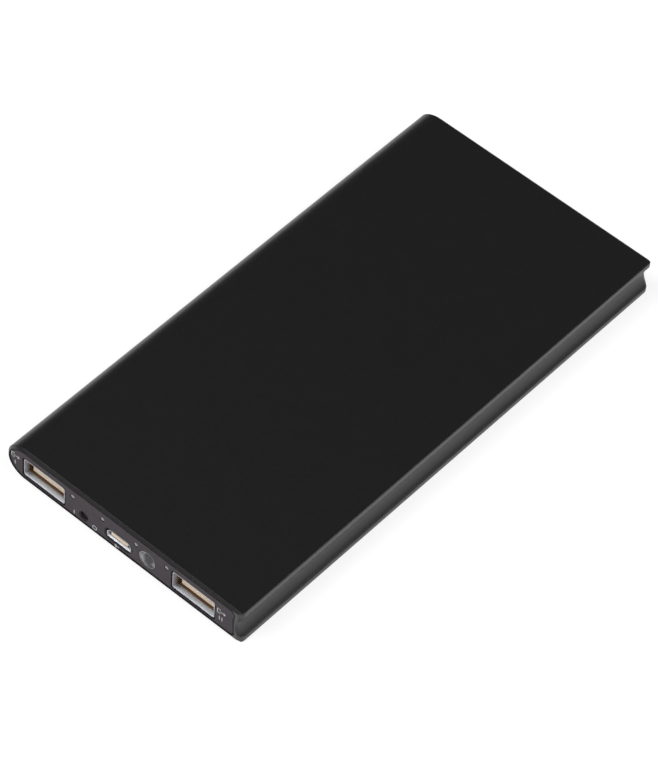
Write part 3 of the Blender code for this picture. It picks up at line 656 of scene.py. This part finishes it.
def make_plates(looks):
    """The front plate with its openings, the plain rear plate, and round each a black band in the gap as
    its painted shade.
    """
    outline = (lambda grow: cavity(PLATE_GAP - grow), 0.12)
    finish = looks["plate_plastic"]
    front = Shape()
    add_plate(front, outline, front_openings(), PLATE_FACE, PLATE_BACK)
    add("front_plate", front, finish, replaces=["front_panel"], sharp_angle=30)
    rear = Shape()
    add_plate(rear, outline, [], -PLATE_FACE, -PLATE_BACK)
    add("rear_plate", rear, finish, replaces=["rear_panel"], sharp_angle=30)
    # Black bands in the gaps round the plates, as painted shade of the gaps
    outer, inner = cavity(GAP_SHADE_CLEARANCE), cavity(PLATE_GAP - GAP_SHADE_CLEARANCE)
    for name, sign in (("front_gap_shade", 1), ("rear_gap_shade", -1)):
        start, end = (sign * (PLATE_FACE + depth) for depth in GAP_SHADE_DEPTHS)
        shade_band = Shape()
        shade_band.tube(outer, inner, start, end)
        add(name, shade_band, looks["gap_shade_black"])


# ---------------------------------------------------------------- sockets


def flared_lips(wall, mouth, sheet, flare, depth):
    """Sections round a pressed shell's mouth, from outside to inside; wall(inset) is its outline."""
    outside, inside = [], []
    for share in (0.0, 0.12, 0.3, 1.0):
        spread = flare * share - 0.02 * math.sin(math.pi * share)
        y = mouth + depth * (1 - share)
        outside.append((y, wall(sheet * 0.35 * share - spread)))
        inside.append((y, wall(sheet - spread)))
    rounding = sheet * 0.12
    edge = [(mouth - rounding, wall(sheet * 0.55 - flare)), (mouth - rounding, wall(sheet * 0.8 - flare))]
    return outside + edge + inside[::-1]


def make_usb_socket(side, looks):
    """A USB-A socket: a folded shell with flared lips and feet, its insulator and its liner."""
    low, high, middle = cad(f"usb_{side}_shell")
    center = (middle.x, (low.z + high.z) / 2)
    mouth, back = low.y, high.y

    def wall(inset):
        size = (USB_SHELL[0] - 2 * inset, USB_SHELL[1] - 2 * inset)
        return rounded_rectangle(center, size, max(0.2, 0.55 - inset))

    shape = Shape()
    lips = flared_lips(wall, mouth, USB_SHEET, USB_FLARE, USB_LIP)
    rear, floor = shape.skin([(back, wall(0)), *lips, (back - USB_SHEET, wall(USB_SHEET))])
    shape.cap(rear)
    shape.cap(floor)
    foot_low = cad("circuit_board")[1].z + 0.1
    foot_reach, foot_length, foot_sheet = USB_FOOT
    for sign in (-1, 1):
        for depth in USB_FOOT_DEPTHS:
            start, end = mouth + depth, mouth + depth + foot_length
            edge = USB_SHELL[0] / 2
            reach = sorted((center[0] + sign * (edge - 0.15), center[0] + sign * (edge + foot_reach)))
            shape.box((reach[0], start, foot_low), (reach[1], end, foot_low + foot_sheet), 0.05)
    finish = looks["nickel_steel"]
    add(f"usb_{side}_can", shape, finish, replaces=[f"usb_{side}_shell"], sharp_angle=50)

    body_front = mouth + USB_BLOCK_DEPTH
    make_usb_insulator(side, center, body_front, looks)
    # The liner, dark brown as painted shade of the socket's depths
    shape = Shape()
    add_liner(shape, center, mouth + USB_LIP + 0.3, body_front - 0.1)
    add(f"usb_{side}_liner", shape, looks["painted_shade_liner"])


def make_usb_insulator(side, center, body_front, looks):
    """The block at the back of the socket and its tongue, whose top is level with the socket's middle."""
    node = f"usb_{side}_insulator"
    low, high, _ = cad(node)
    shape = Shape()
    shape.box((low.x, body_front, low.z), (high.x, high.y, high.z), 0.1)
    left, right = center[0] - TONGUE_SIZE[0] / 2, center[0] + TONGUE_SIZE[0] / 2
    bottom, top = center[1] - TONGUE_SIZE[1], center[1]
    section = [(left, bottom), (right, bottom), (right, top), (left, top)]
    nose = low.y - TONGUE_FORWARD
    sections = [(nose, shrunk(section, TONGUE_EDGE)), (nose + TONGUE_EDGE, section)]
    near, far = shape.skin(sections + [(body_front + 0.2, section)])
    shape.cap(near)
    shape.cap(far)
    finish = looks["ivory_plastic"]
    add(f"usb_{side}_tongue", shape, finish, replaces=[node], sharp_angle=30)


def add_liner(shape, center, start, end):
    """A thin plastic tray along the socket's floor and sides, behind the bright band at the mouth; its dark
    brown finish is painted shade.
    """
    half_x = USB_SHELL[0] / 2 - USB_SHEET - 0.06
    half_z = USB_SHELL[1] / 2 - USB_SHEET - 0.06
    floor_top = LINER_SHEET - half_z
    for low_x, high_x, low_z, high_z in (
        (-half_x, half_x, -half_z, floor_top),
        (-half_x, LINER_SHEET - half_x, floor_top, half_z),
        (half_x - LINER_SHEET, half_x, floor_top, half_z),
    ):
        low = (center[0] + low_x, start, center[1] + low_z)
        high = (center[0] + high_x, end, center[1] + high_z)
        shape.box(low, high, 0.03)


def micro_outline(center, shrink):
    """Wide at the bottom, with the two upper corners cut off, and every corner a little round."""
    half_x, half_z = MICRO_SHELL[0] / 2 - shrink, MICRO_SHELL[1] / 2 - shrink
    cut_x, cut_z = 1.0 - 0.4 * shrink, 0.95 - 0.4 * shrink
    right = [(0, -half_z), (half_x, -half_z), (half_x, half_z - cut_z)]
    right += [(half_x - cut_x, half_z), (0, half_z)]
    right = filleted(right, 0.3)
    left = [(-x, z) for x, z in reversed(right)]
    return [(center[0] + x, center[1] + z) for x, z in right[:-1] + left[:-1]]


def make_micro_socket(looks):
    """A micro-USB socket: a folded shell with flared lips, and an insulator with its tongue."""
    node = "micro_usb_shell"
    low, high, middle = cad(node)
    center = (middle.x, middle.z)

    def wall(inset):
        return micro_outline(center, inset)

    shape = Shape()
    lips = flared_lips(wall, low.y, MICRO_SHEET, MICRO_FLARE, MICRO_LIP)
    rear, floor = shape.skin([(high.y, wall(0)), *lips, (high.y - MICRO_SHEET, wall(MICRO_SHEET))])
    shape.cap(rear)
    shape.cap(floor)
    add("micro_usb_can", shape, looks["nickel_steel"], replaces=[node], sharp_angle=50)

    node = "micro_usb_insulator"
    body_low, body_high, _ = cad(node)
    body_front = low.y + MICRO_BLOCK_DEPTH
    shape = Shape()
    shape.prism(micro_outline(center, MICRO_SHEET + 0.1), body_front, body_high.y, 0.08)
    tongue = rounded_rectangle((center[0], center[1] + MICRO_TONGUE_RISE), MICRO_TONGUE, 0.12, 3)
    shape.prism(tongue, body_low.y, body_front + 0.2, 0.1)
    add("micro_usb_tongue", shape, looks["ivory_plastic"], replaces=[node])


# ---------------------------------------------------------------- torch, button and indicators


def make_torch(looks):
    """A 5 mm LED's lens, shallow and flush with the plate, with its flange, and a thin grey ring on the
    plate round it as a painted highlight.
    """
    node = "torch_led_lens"
    low, high, middle = cad(node)
    center = (middle.x, middle.z)
    radius, flange = TORCH_RADIUS, TORCH_FLANGE
    base, back = high.y - 1.0, high.y
    dome = arc((0, low.y + TORCH_DOME), (radius, TORCH_DOME), -90, 0, 18)
    skirt = [(radius, base - 0.1), (radius + 0.1, base), (flange - 0.05, base), (flange, base + 0.05)]
    skirt += [(flange, back - 0.1), (flange - 0.1, back)]
    shape = Shape()
    shape.revolve(dome + skirt + [(0.0, back)], center, 64)
    add("torch_lens", shape, looks["clear_epoxy"], replaces=[node], sharp_angle=50)
    # A thin grey ring on the plate's face round the lens: a painted highlight
    outer, inner = (circle(center, reach, 64) for reach in TORCH_HIGHLIGHT_RING)
    rim = Shape()
    rim.tube(outer, inner, PLATE_FACE + 0.01, PLATE_FACE + 0.07)
    add("torch_highlight_ring", rim, looks["torch_highlight_ring"])


def make_button(looks):
    """The button: a shallow dished face with a rounded edge, a flange and a stem."""
    low, high, middle = cad("power_button")
    center = (middle.x, middle.z)
    face, flange, back = low.y, FRAME_FACE, FRAME_FACE + 0.7
    radius, rounding = BUTTON_RADIUS, 0.18
    dish = [(0.0, face + 0.12), (0.3, face + 0.11), (0.58, face + 0.07), (0.8, face + 0.02)]
    edge = arc((radius - rounding, face + rounding), (rounding, rounding), -90, 0, 6)
    body = [(radius, flange), (BUTTON_FLANGE - 0.05, flange), (BUTTON_FLANGE, flange + 0.05)]
    body += [(BUTTON_FLANGE, back - 0.05), (BUTTON_FLANGE - 0.05, back)]
    stem = [(BUTTON_STEM, back), (BUTTON_STEM, high.y - 0.05), (BUTTON_STEM - 0.05, high.y), (0.0, high.y)]
    shape = Shape()
    shape.revolve(dish + edge + body + stem, center, 48)
    add("button_cap", shape, looks["button_plastic"], "button", ["power_button"])


def make_light_pipe(number, looks):
    """A light pipe with a softly domed tip, bent down to the LED on the board."""
    node = f"light_pipe_{number}"
    low, high, middle = cad(node)
    radius, bend, steps = PIPE_RADIUS, PIPE_BEND, 24
    center_z = high.z - radius
    turn_y = high.y - radius
    shape = Shape()
    dome = arc((0, low.y + radius * 0.3), (radius, radius * 0.3), -90, 0, 6)
    loops = []
    for reach, y in dome[1:]:
        loops.append(shape.ring(circle((middle.x, center_z), reach, steps), y))
    tip = shape.mesh.verts.new((middle.x, low.y, center_z))
    for i in range(steps):
        shape.mesh.faces.new((tip, loops[0][i], loops[0][(i + 1) % steps]))
    elbow = Vector((middle.x, turn_y - bend, center_z - bend))
    for angle in range(0, 91, 15):
        turn = Matrix.Rotation(-math.radians(angle), 3, "X")
        ring = []
        for x, z in circle((0, 0), radius, steps):
            ring.append(shape.mesh.verts.new(elbow + turn @ Vector((x, 0, z + bend))))
        loops.append(ring)
    loops.append([shape.mesh.verts.new((v.co.x, v.co.y, low.z)) for v in loops[-1]])
    for near, far in zip(loops, loops[1:]):
        shape.bridge(near, far)
    shape.cap(loops[-1])
    add(f"indicator_window_{number}", shape, looks["light_pipe"], replaces=[node])


# ---------------------------------------------------------------- printed marks


def ribbon(shape, points, y, closed=False):
    """A flat stroke of ink along a line of (x, z) points, with mitred corners."""
    count = len(points)
    vectors = [Vector(point) for point in points]
    sides = []
    for i, at in enumerate(vectors):
        before = vectors[i - 1] if closed or i else at * 2 - vectors[1]
        after = vectors[(i + 1) % count] if closed or i < count - 1 else at * 2 - vectors[i - 1]
        into, out = (at - before).normalized(), (after - at).normalized()
        normal = Vector((-into.y - out.y, into.x + out.x)).normalized()
        reach = STROKE / 2 / max(0.3, normal.dot(Vector((-into.y, into.x))))
        sides.append((at + normal * reach, at - normal * reach))
    near = [shape.mesh.verts.new((a.x, y, a.y)) for a, _ in sides]
    far = [shape.mesh.verts.new((b.x, y, b.y)) for _, b in sides]
    shape.bridge(near, far, closed)


def socket_mark(shape, corner, outward, y, size=MARK_SIZE):
    """A small open box with an arrow that leaves it or enters it."""
    x, z = corner
    box, middle = 0.7 * size, z + size / 2
    ribbon(shape, [(x + box, z + size), (x, z + size), (x, z), (x + box, z)], y)
    tail, head = (x + 0.45 * size, x + 1.75 * size) if outward else (x + 1.75 * size, x + 0.45 * size)
    step = math.copysign(0.36 * size, head - tail)
    ribbon(shape, [(tail, middle), (head - step * 0.4, middle)], y)
    barb, spread = head - step, 0.36 * size
    ribbon(shape, [(barb, middle + spread), (head, middle), (barb, middle - spread)], y)


def make_marks(looks):
    """Generic white marks: outputs with one or two bars, the input, and off and on beside the button."""
    y = PLATE_FACE - 0.012
    shape = Shape()
    usb_left, usb_right = cad("usb_left_shell")[2], cad("usb_right_shell")[2]
    reach = USB_CUTOUT[0] / 2
    left_x = usb_left.x - reach - 3.55
    right_x = usb_right.x + reach + 0.75
    marks = ((left_x, 0.5, -1.9, [1.1]), (right_x, 0.2, -2.2, [0.7, 1.5]))
    for x, box_rise, bar_rise, offsets in marks:
        socket_mark(shape, (x, MID_Z + box_rise), True, y)
        bar_low = MID_Z + bar_rise
        for offset in offsets:
            ribbon(shape, [(x + offset, bar_low), (x + offset, bar_low + BAR_HEIGHT)], y)
    button = cad("power_button")[2]
    row = button.z - 1.47
    ribbon(shape, [(button.x - 3.0, row - 0.1), (button.x - 3.0, row + 1.2)], y)
    ribbon(shape, circle((button.x + 3.6, row + 0.3), 0.62, 32), y, closed=True)
    micro = cad("micro_usb_shell")[2]
    socket_mark(shape, (micro.x - 0.9, 1.1), False, y, INPUT_MARK_SIZE)
    add("printed_marks", shape, looks["printed_ink"])


# ---------------------------------------------------------------- what keeps its CAD shape


def dress_frame(looks):
    """Gives every CAD node that still shows the finish of its slot."""
    slots = {entry["node"]: entry["material_slot"] for entry in frame["record"]["subparts"]}
    for node, shown in frame["nodes"].items():
        for material_slot in shown.material_slots:
            material_slot.material = looks[slots[node]]


# ---------------------------------------------------------------- stage, lights and camera


def make_stage():
    """A pale floor, wide enough to fill the view; the little light it gives off makes it come out white."""
    glow = {"Specular_IOR_Level": 0.1, "Emission_Strength": 0.72, "Emission_Color": (1.0, 1.0, 1.0, 1.0)}
    look = mottled("floor", (0.4, 0.4, 0.4), 0.6, 60, spread=0.006, **glow)
    shape = Shape()
    reach, depth, gap = 2500, 12, 0.02
    shape.box((-reach, -reach, -depth), (reach, reach, -gap))
    data = shape.finished("floor")
    data.materials.append(look)
    floor = bpy.data.objects.new("floor", data)
    bpy.context.scene.collection.objects.link(floor)


def direction_of(azimuth, elevation):
    """The direction from the object, with azimuth 0 at its front; angles in radians."""
    level = math.cos(elevation)
    return Vector((math.sin(azimuth) * level, -math.cos(azimuth) * level, math.sin(elevation)))


def add_light(name, azimuth, elevation, distance, size, watts):
    """A rectangular softbox aimed at the object, placed by direction in degrees and distance in metres."""
    direction = direction_of(math.radians(azimuth), math.radians(elevation))
    data = bpy.data.lights.new(name, "AREA")
    data.shape = "RECTANGLE"
    data.size, data.size_y = size
    data.energy = watts
    light = bpy.data.objects.new(name, data)
    light.location = direction * distance
    light.rotation_euler = (-direction).to_track_quat("-Z", "Y").to_euler()
    bpy.context.scene.collection.objects.link(light)


def make_lights():
    """A dim sky, a key light from the left and two fills from the right."""
    world = bpy.data.worlds.new("studio")
    bpy.context.scene.world = world
    world.use_nodes = True
    background = world.node_tree.nodes["Background"]
    background.inputs["Color"].default_value = (0.93, 0.96, 1.0, 1.0)
    background.inputs["Strength"].default_value = 0.12
    add_light("key", -40, 56, 1.6, (1.2, 1.0), 17)
    add_light("right_fill", 112, 45, 1.7, (0.9, 1.3), 14.5)
    add_light("front_fill", 40, 24, 2.0, (1.0, 0.6), 5)


def make_camera():
    """A long lens from the front right and above, so that the sockets and the hollowed side both show."""
    azimuth, elevation, roll = (math.radians(angle) for angle in (38.09, 50.43, 4.62))
    distance, left_shift, down_shift = 1013.9, 1.32, 1.0
    back = direction_of(azimuth, elevation)
    right = Vector((math.cos(azimuth), math.sin(azimuth), 0))
    up = back.cross(right)
    data = bpy.data.cameras.new("camera")
    data.sensor_width = 36.0
    data.lens = 198.0
    data.clip_start, data.clip_end = 0.01, 20
    camera = bpy.data.objects.new("camera", data)
    facing = Matrix((right, up, back)).transposed().to_4x4() @ Matrix.Rotation(roll, 4, "Z")
    place = back * distance - right * left_shift - up * down_shift
    camera.matrix_world = Matrix.Translation(place * MM) @ facing
    bpy.context.scene.collection.objects.link(camera)
    bpy.context.scene.camera = camera


def main():
    looks = make_looks()
    make_camera()
    make_sleeve(looks)
    make_plates(looks)
    for side in ("left", "right"):
        make_usb_socket(side, looks)
    make_micro_socket(looks)
    make_torch(looks)
    make_button(looks)
    for number in range(1, 5):
        make_light_pipe(number, looks)
    make_marks(looks)
    dress_frame(looks)
    make_stage()
    make_lights()
    bpy.context.scene.view_settings.view_transform = "Standard"


main()
